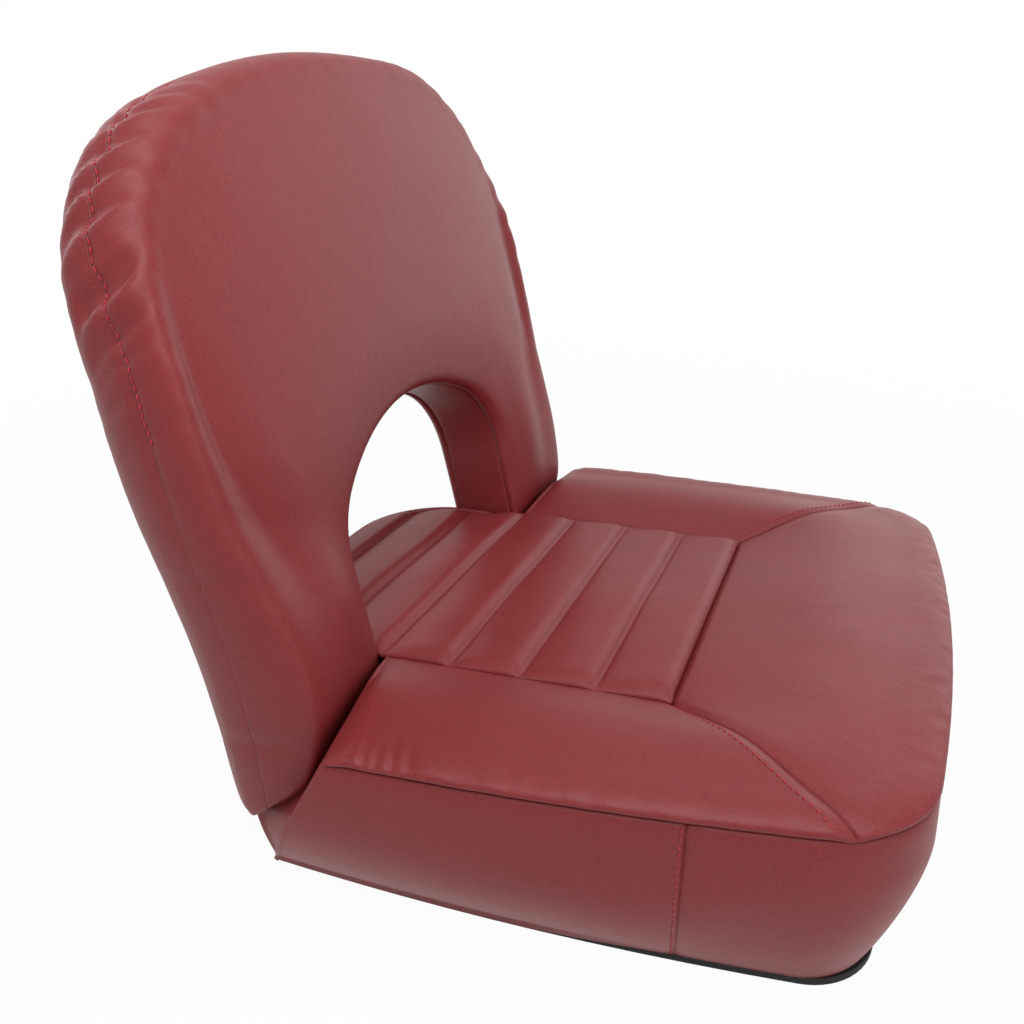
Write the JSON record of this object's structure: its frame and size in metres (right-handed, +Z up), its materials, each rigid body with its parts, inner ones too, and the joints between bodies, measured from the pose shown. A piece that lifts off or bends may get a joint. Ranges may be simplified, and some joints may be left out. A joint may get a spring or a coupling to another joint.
{
  "type": "meditation chair",
  "caption": "Low floor chair in padded vinyl: a pleated wedge seat flat on the floor and an arched, open-footed back that reclines on hidden ratchet hinges.",
  "frame": {"origin": "middle of the seat's width and depth, on the floor", "axes": "+X to the sitter's left, -Y the way the chair faces, +Z up"},
  "size_m": [0.5082, 0.5056, 0.4779],
  "materials": {
    "vinyl": "satin",
    "foam": "matte",
    "belt": "matte",
    "base_black": "matte",
    "tube": "satin",
    "hinge_steel": "zinc plated",
    "spring_steel": "satin"
  },
  "bodies": {
    "seat": {"base_cover": "base_black", "seat_foam": "foam", "seat_center_panel": "vinyl", "seat_front_panel": "vinyl", "seat_side_panel_left": "vinyl", "seat_side_panel_right": "vinyl", "seat_boxing_front": "vinyl", "seat_boxing_left": "vinyl", "seat_boxing_right": "vinyl", "seat_boxing_rear": "vinyl", "seat_frame_tube": "tube", "seat_cross_tube": "tube", "seat_support_belts": "belt", "seat_rail_pins": "hinge_steel", "hinge_bracket_left": "hinge_steel", "hinge_bracket_right": "hinge_steel", "hinge_pivot_rivets": "hinge_steel", "pawl_rivets": "hinge_steel", "pawl_spring_left": "spring_steel", "pawl_spring_right": "spring_steel"},
    "back": {"back_frame_tube": "tube", "back_cross_bar": "tube", "back_support_belts": "belt", "back_core_foam": "foam", "back_front_cushion": "vinyl", "back_rear_cushion": "vinyl", "back_opening_band": "vinyl", "leg_sleeve_left": "vinyl", "leg_sleeve_right": "vinyl", "ratchet_arm_left": "hinge_steel", "ratchet_arm_right": "hinge_steel", "back_upright_pins": "hinge_steel"},
    "pawl_left": {"hinge_pawl_left": "hinge_steel"},
    "pawl_right": {"hinge_pawl_right": "hinge_steel"}
  },
  "joints": [
    {"name": "recline", "type": "hinge", "parent": "seat", "child": "back", "pos_m": [0, 0.145, 0.044], "axis": [-1, 0, 0], "range_deg": [-15, 75], "deforming": ["leg_sleeve_left", "leg_sleeve_right"]},
    {"name": "pawl_left_lift", "type": "hinge", "parent": "seat", "child": "pawl_left", "pos_m": [0.187, 0.11637, 0.061], "axis": [-1, 0, 0], "range_deg": [0, 11], "stiffness_Nm_per_rad": 0.05, "springref_deg": -20.05, "deforming": ["pawl_spring_left"]},
    {"name": "pawl_right_lift", "type": "hinge", "parent": "seat", "child": "pawl_right", "pos_m": [-0.187, 0.11637, 0.061], "axis": [-1, 0, 0], "range_deg": [0, 11], "stiffness_Nm_per_rad": 0.05, "springref_deg": -20.05, "deforming": ["pawl_spring_right"]}
  ]
}
